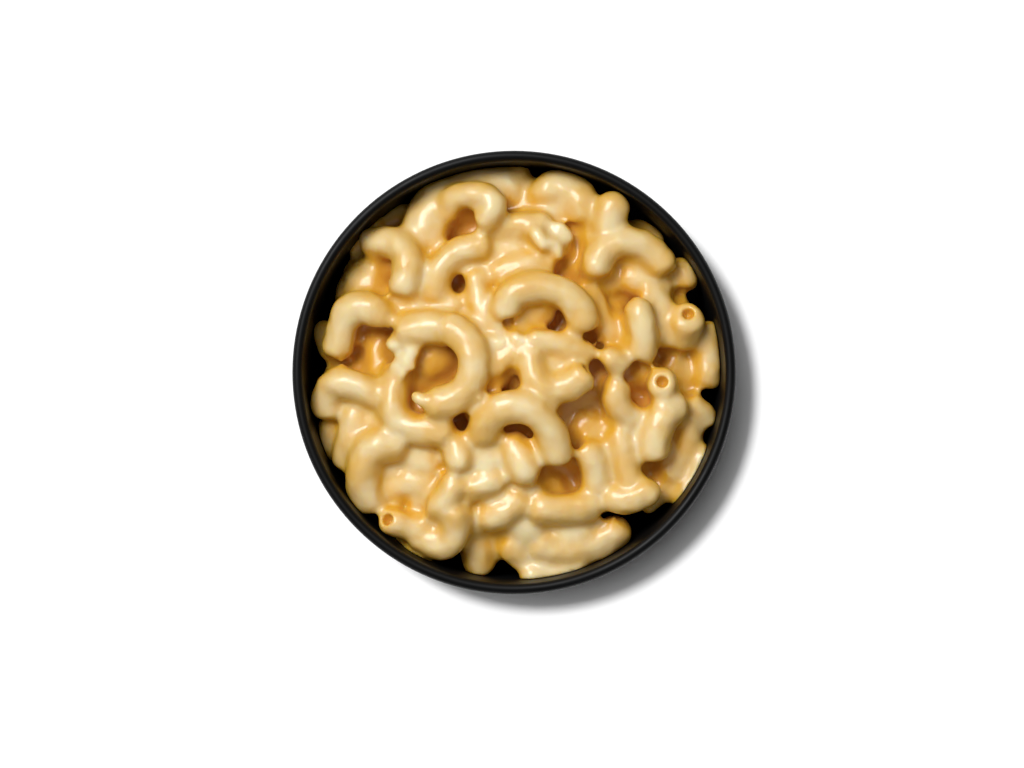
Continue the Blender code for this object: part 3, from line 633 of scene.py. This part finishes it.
def tube(spine, profile, sides, ring_closed):
    """A bmesh drawn along a spine, with one ring for each (distance, radius) of its profile.
    The last ring joins the first one, or both are capped."""
    shape = bmesh.new()
    (distance, radius), *others = profile
    spot, heading = spine.at(distance)
    turn = Vector((0.0, 0.0, 1.0)).rotation_difference(heading).to_matrix().to_4x4()
    bmesh.ops.create_circle(
        shape, cap_ends=not ring_closed, segments=sides, radius=radius,
        matrix=Matrix.Translation(spot) @ turn,
    )
    first = list(shape.edges)
    edges = first
    for distance, next_radius in others:
        made = bmesh.ops.extrude_edge_only(shape, edges=edges)["geom"]
        verts = [item for item in made if isinstance(item, bmesh.types.BMVert)]
        edges = [item for item in made if isinstance(item, bmesh.types.BMEdge)]
        next_spot, next_heading = spine.at(distance)
        swing = heading.rotation_difference(next_heading).to_matrix().to_4x4()
        grow = Matrix.Scale(next_radius / radius, 4)
        move = Matrix.Translation(next_spot) @ swing @ grow @ Matrix.Translation(-spot)
        bmesh.ops.transform(shape, matrix=move, verts=verts)
        spot, heading, radius = next_spot, next_heading, next_radius
    if ring_closed:
        bmesh.ops.bridge_loops(shape, edges=[*first, *edges])
    else:
        bmesh.ops.contextual_create(shape, geom=edges)
    bmesh.ops.recalc_face_normals(shape, faces=shape.faces)
    return shape


def stretch(start, end, radius, spacing):
    """Profile points at one radius from one distance to the other."""
    count = max(1, round(abs(end - start) / spacing))
    return [(start + (end - start) * step / count, radius) for step in range(count + 1)]


def hollow_profile(length, radius, bore):
    """Out along the outside of an elbow, over its cut end, back through its bore and over the other end."""
    outside = stretch(LIP, length - LIP, radius, SPINE_STEP * 1.3)
    inside = stretch(length - LIP, LIP, bore, SPINE_STEP * 2.5)
    return [
        (0.0, radius - LIP),
        (0.3 * LIP, radius - 0.3 * LIP),
        *outside,
        (length - 0.3 * LIP, radius - 0.3 * LIP),
        (length, radius - LIP),
        (length, bore + LIP),
        (length - 0.3 * LIP, bore + 0.3 * LIP),
        *inside,
        (0.3 * LIP, bore + 0.3 * LIP),
        (0.0, bore + LIP),
    ]


def covered(row, end):
    """How far the sauce covers one end of an elbow, in millimetres along it."""
    if end in DOMED_ENDS.get(row[0], ()):
        return row[1]
    return OPEN_COVER if end in OPEN_ENDS.get(row[0], ()) else row[1] * EDGE


def end_profile(radius, domed):
    """A filled end from its middle out to the side of the tube."""
    depth = radius if domed else radius * EDGE
    flat = radius - depth
    points = [(0.0, max(0.3, flat * 0.5))]
    for angle in (15.0, 35.0, 55.0, 75.0, 90.0):
        turn = math.radians(angle)
        points.append((depth * (1.0 - math.cos(turn)), flat + depth * math.sin(turn)))
    return points


def filled_profile(length, radius, domed):
    """A filled elbow or mass from the middle of one end to the middle of the other."""
    start = end_profile(radius, "start" in domed)
    end = end_profile(radius, "end" in domed)
    room = min(1.0, length / (start[-1][0] + end[-1][0] + 0.2))
    start = [(distance * room, size) for distance, size in start]
    end = [(length - distance * room, size) for distance, size in end]
    side = stretch(start[-1][0], end[-1][0], radius, SPINE_STEP)
    return [*start, *side[1:-1], *reversed(end)]


def tubes_mesh(name, rows, make_profile):
    """The tube of every row in one mesh; make_profile gives its profile, from the spine."""
    joined = bmesh.new()
    for row in rows:
        spine = Spine(row[2:])
        profile, closed = make_profile(row, spine)
        piece = mesh_of(tube(spine, profile, SIDES, closed), "elbow")
        joined.from_mesh(piece)
        bpy.data.meshes.remove(piece)
    bmesh.ops.scale(joined, vec=(MM, MM, MM), verts=joined.verts)
    return mesh_of(joined, name)


def keep_inside(mesh, bowl, gap):
    """Presses what would pass through the bowl's wall flat against it."""
    for vert in mesh.vertices:
        x, y, z = vert.co
        limit = inner_radius(bowl, z) - gap
        reach = math.hypot(x, y)
        if reach > limit:
            vert.co = (x * limit / reach, y * limit / reach, z)


def pasta(colour):
    """Durum wheat pasta, pressed through a smooth die and boiled: golden, waxy and a little see-through."""
    material, tree = new_material("Boiled durum pasta")
    place = add_node(tree, "ShaderNodeTexCoord").outputs["Object"]
    cloud = add_node(tree, "ShaderNodeTexNoise", {"Vector": place, "Scale": per(6.0), "Detail": 3.0})
    shade = add_node(
        tree, "ShaderNodeMix",
        {0: cloud.outputs["Fac"], 6: (*[c * 0.86 for c in colour], 1.0), 7: (*colour, 1.0)},
        data_type="RGBA",
    )
    skin = add_node(tree, "ShaderNodeTexNoise", {"Vector": place, "Scale": per(0.8), "Detail": 3.0})
    bump = add_node(
        tree, "ShaderNodeBump", {"Height": skin.outputs["Fac"], "Distance": 0.05 * MM, "Strength": 0.5}
    )
    shader = add_node(
        tree, "ShaderNodeBsdfPrincipled",
        {"Base Color": shade.outputs[2], "Roughness": 0.35, "IOR": 1.45,
         "Subsurface Weight": 1.0, "Subsurface Radius": (1.0, 0.55, 0.2), "Subsurface Scale": 2.0 * MM,
         "Normal": bump.outputs["Normal"]},
    )
    add_node(tree, "ShaderNodeOutputMaterial", {"Surface": shader.outputs["BSDF"]})
    return material


# ---------------------------------------------------------------- the sauce


def core_height(radius):
    """Height in millimetres of the core; its edge falls away from the wall."""
    height = mound(radius, 0.0) - CORE_DEPTH
    if radius <= CORE_RADIUS:
        return height
    fall = (radius - CORE_RADIUS) / (CORE_FOOT_RADIUS - CORE_RADIUS)
    return height + (CORE_FOOT_HEIGHT - height) * (0.5 - 0.5 * math.cos(math.pi * fall))


def core_mesh():
    rings = [CORE_FOOT_RADIUS * ring / CORE_RINGS for ring in range(CORE_RINGS + 1)]
    profile = [(radius * MM, core_height(radius) * MM) for radius in rings]
    profile += [(CORE_FOOT_RADIUS * MM, CORE_BOTTOM * MM), (0.0, CORE_BOTTOM * MM)]
    shape = turned(profile, CORE_TURNS)
    for vert in shape.verts:
        if vert.co.z <= CORE_FOOT_HEIGHT * MM:
            continue
        for x, y, radius, depth in PITS:
            away = math.hypot(vert.co.x / MM - x, vert.co.y / MM - y) / radius
            vert.co.z -= depth * MM * math.exp(-away * away)
    return mesh_of(shape, "core")


def joined_mesh(name, meshes):
    joined = bmesh.new()
    for mesh in meshes:
        joined.from_mesh(mesh)
    return mesh_of(joined, name)


def swell(mesh, distance, grain, passes):
    """The mesh grown outwards by a distance, run together into one skin of even faces and smoothed."""

    def build(helper):
        if distance:
            grow = helper.modifiers.new("Grow", "DISPLACE")
            grow.strength = distance
            grow.mid_level = 0.0
        skin = helper.modifiers.new("Run together", "REMESH")
        skin.mode = "VOXEL"
        skin.voxel_size = grain
        if passes:
            soften = helper.modifiers.new("Soften", "SMOOTH")
            soften.factor = 0.5
            soften.iterations = passes

    return run_modifiers(mesh, build)


def dimple_cutters():
    """A rounded plug for each open end, which leaves the hole of the tube in the sauce."""
    cutters = []
    rows = {row[0]: row for row in ELBOWS}
    for name, ends in OPEN_ENDS.items():
        spine = Spine(rows[name][2:])
        for end in ends:
            spot, heading = spine.at(0.0 if end == "start" else spine.length)
            out = -heading if end == "start" else heading
            turn = Vector((0.0, 0.0, 1.0)).rotation_difference(out).to_matrix().to_4x4()
            shape = bmesh.new()
            bmesh.ops.create_uvsphere(shape, u_segments=20, v_segments=12, radius=DIMPLE_RADIUS)
            bmesh.ops.scale(shape, vec=(1.0, 1.0, DIMPLE_DEPTH / DIMPLE_RADIUS), verts=shape.verts)
            bmesh.ops.transform(shape, matrix=Matrix.Translation(spot) @ turn, verts=shape.verts)
            bmesh.ops.scale(shape, vec=(MM, MM, MM), verts=shape.verts)
            cutters.append(mesh_of(shape, "cutter"))
    return joined_mesh("dimples", cutters)


def carve(mesh, cutters, grain):
    """The mesh with the cutters taken away, in one skin of even faces."""
    tool = bpy.data.objects.new("dimples", cutters)
    bpy.context.scene.collection.objects.link(tool)

    def build(helper):
        cut = helper.modifiers.new("Carve", "BOOLEAN")
        cut.operation = "DIFFERENCE"
        cut.solver = "MANIFOLD"
        cut.object = tool
        skin = helper.modifiers.new("Run together", "REMESH")
        skin.mode = "VOXEL"
        skin.voxel_size = grain
        soften = helper.modifiers.new("Soften", "SMOOTH")
        soften.factor = 0.5
        soften.iterations = 3

    result = run_modifiers(mesh, build)
    bpy.data.objects.remove(tool, do_unlink=True)
    return result


def loose_pieces(shape):
    """The loose pieces of a bmesh, each as a set of its vertices."""
    unseen = set(shape.verts)
    pieces = []
    while unseen:
        piece = {unseen.pop()}
        front = list(piece)
        while front:
            for edge in front.pop().link_edges:
                for vert in edge.verts:
                    if vert not in piece:
                        piece.add(vert)
                        front.append(vert)
        unseen -= piece
        pieces.append(piece)
    return pieces


def outer_skin(mesh):
    """The mesh without the skins of the air pockets inside it."""
    shape = bmesh.new()
    shape.from_mesh(mesh)
    pieces = sorted(loose_pieces(shape), key=len)
    small = [vert for piece in pieces[:-1] for vert in piece]
    bmesh.ops.delete(shape, geom=small, context="VERTS")
    return mesh_of(shape, "skin")


def trim_sauce(mesh, bowl):
    """Keeps the outer skin, cuts it off flat above the bowl's floor, and closes the cut."""
    shape = bmesh.new()
    shape.from_mesh(outer_skin(mesh))
    cut = bmesh.ops.bisect_plane(
        shape, geom=[*shape.verts, *shape.edges, *shape.faces], dist=0.0001 * MM,
        plane_co=(0.0, 0.0, FOOD_BOTTOM * MM), plane_no=(0.0, 0.0, 1.0), clear_inner=True,
    )["geom_cut"]
    edges = [item for item in cut if isinstance(item, bmesh.types.BMEdge)]
    bmesh.ops.holes_fill(shape, edges=edges, sides=0)
    return mesh_of(shape, "sauce")


UNEVEN = ((9.0, 0.65), (3.2, 0.3), (1.5, 0.08))


def make_uneven(mesh):
    """Lumps and hollows, as in sauce that was stirred and set."""
    for vert, normal in zip(mesh.vertices, [item.vector.copy() for item in mesh.vertex_normals]):
        lift = 0.0
        for size, height in UNEVEN:
            lift += height * noise.noise(vert.co / (size * MM))
        vert.co += normal * lift * MM


SAUCE_TRIANGLES = 190_000


def thin_out(mesh, limit):
    """The mesh with no more triangles than the limit."""
    mesh.calc_loop_triangles()
    share = limit / len(mesh.loop_triangles)

    def build(helper):
        thin = helper.modifiers.new("Thin out", "DECIMATE")
        thin.ratio = min(1.0, share)

    return run_modifiers(mesh, build)


FILM_RANGE = 1.6
SKY_RINGS = ((0.0, 1), (28.0, 5), (52.0, 8), (72.0, 8))
SKY_REACH = 25.0 * MM
SKY_BLUR = 2


def sky_directions():
    """Directions spread over the sky, each with its share of the light on a level surface."""
    directions = []
    for index, (angle, count) in enumerate(SKY_RINGS):
        tilt = math.radians(angle)
        for step in range(count):
            side = 2.0 * math.pi * (step + 0.5 * (index % 2)) / count
            level = Vector((math.cos(side), math.sin(side), 0.0)) * math.sin(tilt)
            directions.append(level + Vector((0.0, 0.0, math.cos(tilt))))
    return directions


def mark_sky(mesh):
    """Attribute "sky": how much of the sky each spot sees, 1 on top and 0 far down in a gap. The sauce's colour
    uses it to paint shade.
    """
    directions = sky_directions()
    full = sum(direction.z for direction in directions)
    normals = [item.vector.copy() for item in mesh.vertex_normals]
    tree = BVHTree.FromPolygons(
        [vert.co.copy() for vert in mesh.vertices], [list(face.vertices) for face in mesh.polygons]
    )
    values = []
    for vert, normal in zip(mesh.vertices, normals):
        spot = vert.co + normal * 0.3 * MM
        light = 0.0
        for direction in directions:
            facing = normal.dot(direction)
            if facing > 0.0 and tree.ray_cast(spot, direction, SKY_REACH)[0] is None:
                light += facing
        values.append(min(1.0, light / full))
    edges = [tuple(edge.vertices) for edge in mesh.edges]
    for _ in range(SKY_BLUR):
        sums = list(values)
        counts = [1] * len(values)
        for a, b in edges:
            sums[a] += values[b]
            sums[b] += values[a]
            counts[a] += 1
            counts[b] += 1
        values = [total / count for total, count in zip(sums, counts)]
    sky = mesh.attributes.new("sky", "FLOAT", "POINT")
    sky.data.foreach_set("value", values)


def mark_film(mesh, bare):
    """Attribute "film": 0 where the sauce is a thin film and 1 where it is thick."""
    tree = BVHTree.FromPolygons(
        [vert.co.copy() for vert in bare.vertices], [list(face.vertices) for face in bare.polygons]
    )
    film = mesh.attributes.new("film", "FLOAT", "POINT")
    values = []
    for vert in mesh.vertices:
        distance = tree.find_nearest(vert.co)[3]
        values.append(min(1.0, distance / MM / FILM_RANGE))
    film.data.foreach_set("value", values)


def cheese_sauce(sauce):
    """Cheese sauce, cooked smooth: creamy where it is thick, golden where the pasta shows through,
    and glossy, with small grains of cheese that catch the light. Shade is painted into its colour too: golden on
    the sides that see less of the sky, and a darker orange in the hollows between the macaroni."""
    material, tree = new_material("Cooked cheese sauce")
    place = add_node(tree, "ShaderNodeTexCoord").outputs["Object"]
    film = add_node(tree, "ShaderNodeAttribute", attribute_name="film").outputs["Fac"]
    sky = add_node(tree, "ShaderNodeAttribute", attribute_name="sky").outputs["Fac"]
    cloud = add_node(
        tree, "ShaderNodeTexNoise", {"Vector": place, "Scale": per(11.0), "Detail": 2.0}
    ).outputs["Fac"]
    patch = add_node(
        tree, "ShaderNodeMapRange",
        {"Value": cloud, "From Min": 0.38, "From Max": 0.62, "To Min": 0.3, "To Max": 0.68},
    ).outputs["Result"]
    thick = add_node(
        tree, "ShaderNodeMath", {0: film, 1: 0.33, 2: patch}, operation="MULTIPLY_ADD", use_clamp=True
    ).outputs["Value"]
    creamy = add_node(
        tree, "ShaderNodeMix",
        {0: thick, 6: (*sauce.golden, 1.0), 7: (*sauce.cream, 1.0)},
        data_type="RGBA",
    ).outputs[2]
    # Painted shade: the sides that see less of the sky are painted golden, as if turned from the light.
    side = add_node(
        tree, "ShaderNodeMapRange", {"Value": sky, "From Min": 0.98, "From Max": 0.56, "To Max": 1.0}
    ).outputs["Result"]
    painted_side_shade = add_node(
        tree, "ShaderNodeMix", {0: side, 6: creamy, 7: (*sauce.golden, 1.0)}, data_type="RGBA"
    ).outputs[2]
    # Painted shade: the hollows that see little of the sky are painted the darker hollow colour.
    hollow = add_node(
        tree, "ShaderNodeMapRange", {"Value": sky, "From Min": 0.6, "From Max": 0.1, "To Max": 1.0},
    ).outputs["Result"]
    shade = add_node(
        tree, "ShaderNodeMix", {0: hollow, 6: painted_side_shade, 7: (*sauce.painted_hollow_shade, 1.0)}, data_type="RGBA"
    ).outputs[2]
    grains = add_node(
        tree, "ShaderNodeTexVoronoi", {"Vector": place, "Scale": per(0.9), "Smoothness": 0.6},
        feature="SMOOTH_F1",
    ).outputs["Distance"]
    skin = add_node(tree, "ShaderNodeTexNoise", {"Vector": place, "Scale": per(1.6), "Detail": 3.0})
    fine = add_node(
        tree, "ShaderNodeBump", {"Height": grains, "Distance": 0.05 * MM, "Strength": 0.35}
    )
    bump = add_node(
        tree, "ShaderNodeBump",
        {"Height": skin.outputs["Fac"], "Distance": 0.16 * MM, "Strength": 0.45,
         "Normal": fine.outputs["Normal"]},
    )
    shader = add_node(
        tree, "ShaderNodeBsdfPrincipled",
        {"Base Color": shade, "Roughness": 0.33, "IOR": 1.42, "Specular IOR Level": 0.5,
         "Subsurface Weight": 1.0, "Subsurface Radius": (1.0, 0.8, 0.3), "Subsurface Scale": 1.8 * MM,
         "Coat Weight": 0.35, "Coat Roughness": 0.2,
         "Normal": bump.outputs["Normal"]},
    )
    add_node(tree, "ShaderNodeOutputMaterial", {"Surface": shader.outputs["BSDF"]})
    return material


# ---------------------------------------------------------------- operators


class MAC_OT_bowl(bpy.types.Operator):
    """Turns the bowl from its profile"""

    bl_idname = "mac.bowl"
    bl_label = "Bowl"

    def execute(self, context):
        bowl = context.scene.mac_bowl
        mesh = mesh_of(turned(bowl_profile(bowl), TURN_STEPS), "bowl_turned")
        finish_piece("bowl_turned", mesh, melamine(bowl.colour), "bowl")
        return {"FINISHED"}


class MAC_OT_macaroni(bpy.types.Operator):
    """Lays every hollow elbow of macaroni in its place"""

    bl_idname = "mac.macaroni"
    bl_label = "Macaroni"

    def execute(self, context):
        settings = context.scene.mac_macaroni
        film = context.scene.mac_sauce.film / MM

        def profile(row, spine):
            bare = row[1] - film
            bare_start, bare_end = (covered(row, end) for end in ("start", "end"))
            rings = hollow_profile(spine.length - bare_start - bare_end, bare, bare * settings.bore)
            return [(distance + bare_start, radius) for distance, radius in rings], True

        mesh = tubes_mesh("macaroni", [*ELBOWS, *lower_elbows()], profile)
        keep_inside(mesh, context.scene.mac_bowl, 0.7 * MM)
        finish_piece("macaroni", mesh, pasta(settings.colour), "macaroni_heap")
        return {"FINISHED"}


class MAC_OT_sauce(bpy.types.Operator):
    """Draws the cheese sauce over the macaroni as one skin"""

    bl_idname = "mac.sauce"
    bl_label = "Cheese sauce"

    def execute(self, context):
        sauce = context.scene.mac_sauce
        bowl = context.scene.mac_bowl

        def elbow(row, spine):
            return filled_profile(spine.length, row[1], DOMED_ENDS.get(row[0], ())), False

        def mass(row, spine):
            return filled_profile(spine.length, row[1], ("start", "end")), False

        bare = tubes_mesh("bare", [*ELBOWS, *lower_elbows()], elbow)
        masses = tubes_mesh("masses", MASSES, mass)
        heap = joined_mesh("heap", [bare, masses, core_mesh()])
        whole = swell(heap, 0.0, sauce.grain * 1.2, 1)
        swollen = swell(whole, sauce.fillet, sauce.grain * 1.2, 1)
        coat = outer_skin(swell(swollen, -sauce.fillet, sauce.grain, 2))
        make_uneven(coat)
        coat = carve(coat, dimple_cutters(), sauce.grain)
        coat = thin_out(trim_sauce(coat, bowl), SAUCE_TRIANGLES)
        keep_inside(coat, bowl, 0.2 * MM)
        mark_sky(coat)
        mark_film(coat, bare)
        finish_piece("cheese_sauce", coat, cheese_sauce(sauce), "macaroni_heap")
        return {"FINISHED"}


class MAC_OT_stage(bpy.types.Operator):
    """Sets the floor, the light and the camera"""

    bl_idname = "mac.stage"
    bl_label = "Stage"

    def execute(self, context):
        stage = context.scene.mac_stage
        make_floor(stage)
        make_light(stage)
        make_camera(stage, context.scene.mac_bowl)
        return {"FINISHED"}


FLOOR_SIDE = 6.0
CAMERA_X = -0.6 * MM
CAMERA_Y = -3.24 * MM
SENSOR = 36.0


def make_floor(stage):
    shape = bmesh.new()
    bmesh.ops.create_grid(shape, x_segments=1, y_segments=1, size=FLOOR_SIDE / 2)
    floor = bpy.data.objects.new("floor", mesh_of(shape, "floor"))
    bpy.context.scene.collection.objects.link(floor)
    material, tree = new_material("White painted board")
    shader = add_node(
        tree, "ShaderNodeBsdfPrincipled",
        {"Base Color": (*stage.floor_colour, 1.0), "Roughness": 0.9, "Specular IOR Level": 0.2},
    )
    add_node(tree, "ShaderNodeOutputMaterial", {"Surface": shader.outputs["BSDF"]})
    floor.data.materials.append(material)


def make_lamp(name, strength, size, tilt, side, receivers):
    """A lamp far away that lights only these objects; the shadows that all objects cast stay."""
    lamp = bpy.data.lights.new(name, "SUN")
    lamp.energy = strength
    lamp.angle = size
    light = bpy.data.objects.new(name, lamp)
    source = Vector((math.sin(tilt) * math.cos(side), math.sin(tilt) * math.sin(side), math.cos(tilt)))
    light.rotation_euler = source.to_track_quat("Z", "Y").to_euler()
    light.location = source
    bpy.context.scene.collection.objects.link(light)
    lit = bpy.data.collections.new("lit by " + name)
    for receiver in receivers:
        lit.objects.link(receiver)
    light.light_linking.receiver_collection = lit


def make_light(stage):
    """A soft key on the food and the bowl, an overhead lamp on the floor, and a weak even fill.
    The fill looks pale behind the object."""
    floors = [thing for thing in bpy.context.scene.objects if thing.name == "floor"]
    pieces = [thing for thing in bpy.context.scene.objects if thing.type == "MESH" and thing not in floors]
    make_lamp("key", stage.key_strength, stage.key_size, stage.key_tilt, stage.key_side, pieces)
    food = [piece for piece in pieces if "bowl" not in piece.name]
    make_lamp("bounce", stage.bounce_strength, stage.bounce_size, 0.0, 0.0, food)
    make_lamp(
        "haze", stage.haze_strength, stage.haze_size, stage.overhead_tilt, stage.overhead_side, floors
    )
    make_lamp(
        "overhead", stage.overhead_strength, stage.overhead_size, stage.overhead_tilt,
        stage.overhead_side, floors,
    )
    world = bpy.data.worlds.new("studio")
    world.use_nodes = True
    tree = world.node_tree
    tree.nodes.clear()
    seen = add_node(tree, "ShaderNodeLightPath").outputs["Is Camera Ray"]
    strength = add_node(
        tree, "ShaderNodeMapRange", {"Value": seen, "To Min": stage.fill, "To Max": 0.95}
    ).outputs["Result"]
    back = add_node(tree, "ShaderNodeBackground", {"Strength": strength})
    back.inputs["Color"].default_value = (1.0, 1.0, 1.0, 1.0)
    add_node(tree, "ShaderNodeOutputWorld", {"Surface": back.outputs["Background"]})
    bpy.context.scene.world = world


def make_camera(stage, bowl):
    lens = bpy.data.cameras.new("camera")
    lens.sensor_width = SENSOR
    lens.lens = stage.lens
    lens.dof.use_dof = False
    camera = bpy.data.objects.new("camera", lens)
    rise = stage.view_width * stage.lens / SENSOR
    camera.location = (CAMERA_X, CAMERA_Y, bowl.height + rise)
    lens.clip_start = rise / 100
    lens.clip_end = rise * 100
    bpy.context.scene.collection.objects.link(camera)
    bpy.context.scene.camera = camera
    bpy.context.scene.view_settings.view_transform = "Standard"


class MAC_PT_panel(bpy.types.Panel):
    """Lists the pieces and their sizes and colours"""

    bl_idname = "MAC_PT_panel"
    bl_label = "Mac and cheese"
    bl_space_type = "VIEW_3D"
    bl_region_type = "UI"
    bl_category = "Mac and cheese"

    def draw(self, context):
        for operator, settings in STEPS:
            box = self.layout.box()
            box.operator(operator.bl_idname)
            if settings:
                group = getattr(context.scene, settings)
                for name in group.__annotations__:
                    box.prop(group, name)


STEPS = (
    (MAC_OT_bowl, "mac_bowl"),
    (MAC_OT_macaroni, "mac_macaroni"),
    (MAC_OT_sauce, "mac_sauce"),
    (MAC_OT_stage, "mac_stage"),
)
GROUPS = {
    "mac_bowl": BowlSettings,
    "mac_macaroni": MacaroniSettings,
    "mac_sauce": SauceSettings,
    "mac_stage": StageSettings,
}


def register():
    for name, group in GROUPS.items():
        bpy.utils.register_class(group)
        setattr(bpy.types.Scene, name, bpy.props.PointerProperty(type=group))
    for operator, _ in STEPS:
        bpy.utils.register_class(operator)
    bpy.utils.register_class(MAC_PT_panel)


def unregister():
    bpy.utils.unregister_class(MAC_PT_panel)
    for operator, _ in reversed(STEPS):
        bpy.utils.unregister_class(operator)
    for name, group in reversed(GROUPS.items()):
        delattr(bpy.types.Scene, name)
        bpy.utils.unregister_class(group)


def main():
    register()
    for operator, _ in STEPS:
        group, name = operator.bl_idname.split(".")
        getattr(getattr(bpy.ops, group), name)()


if __name__ == "__main__":
    main()
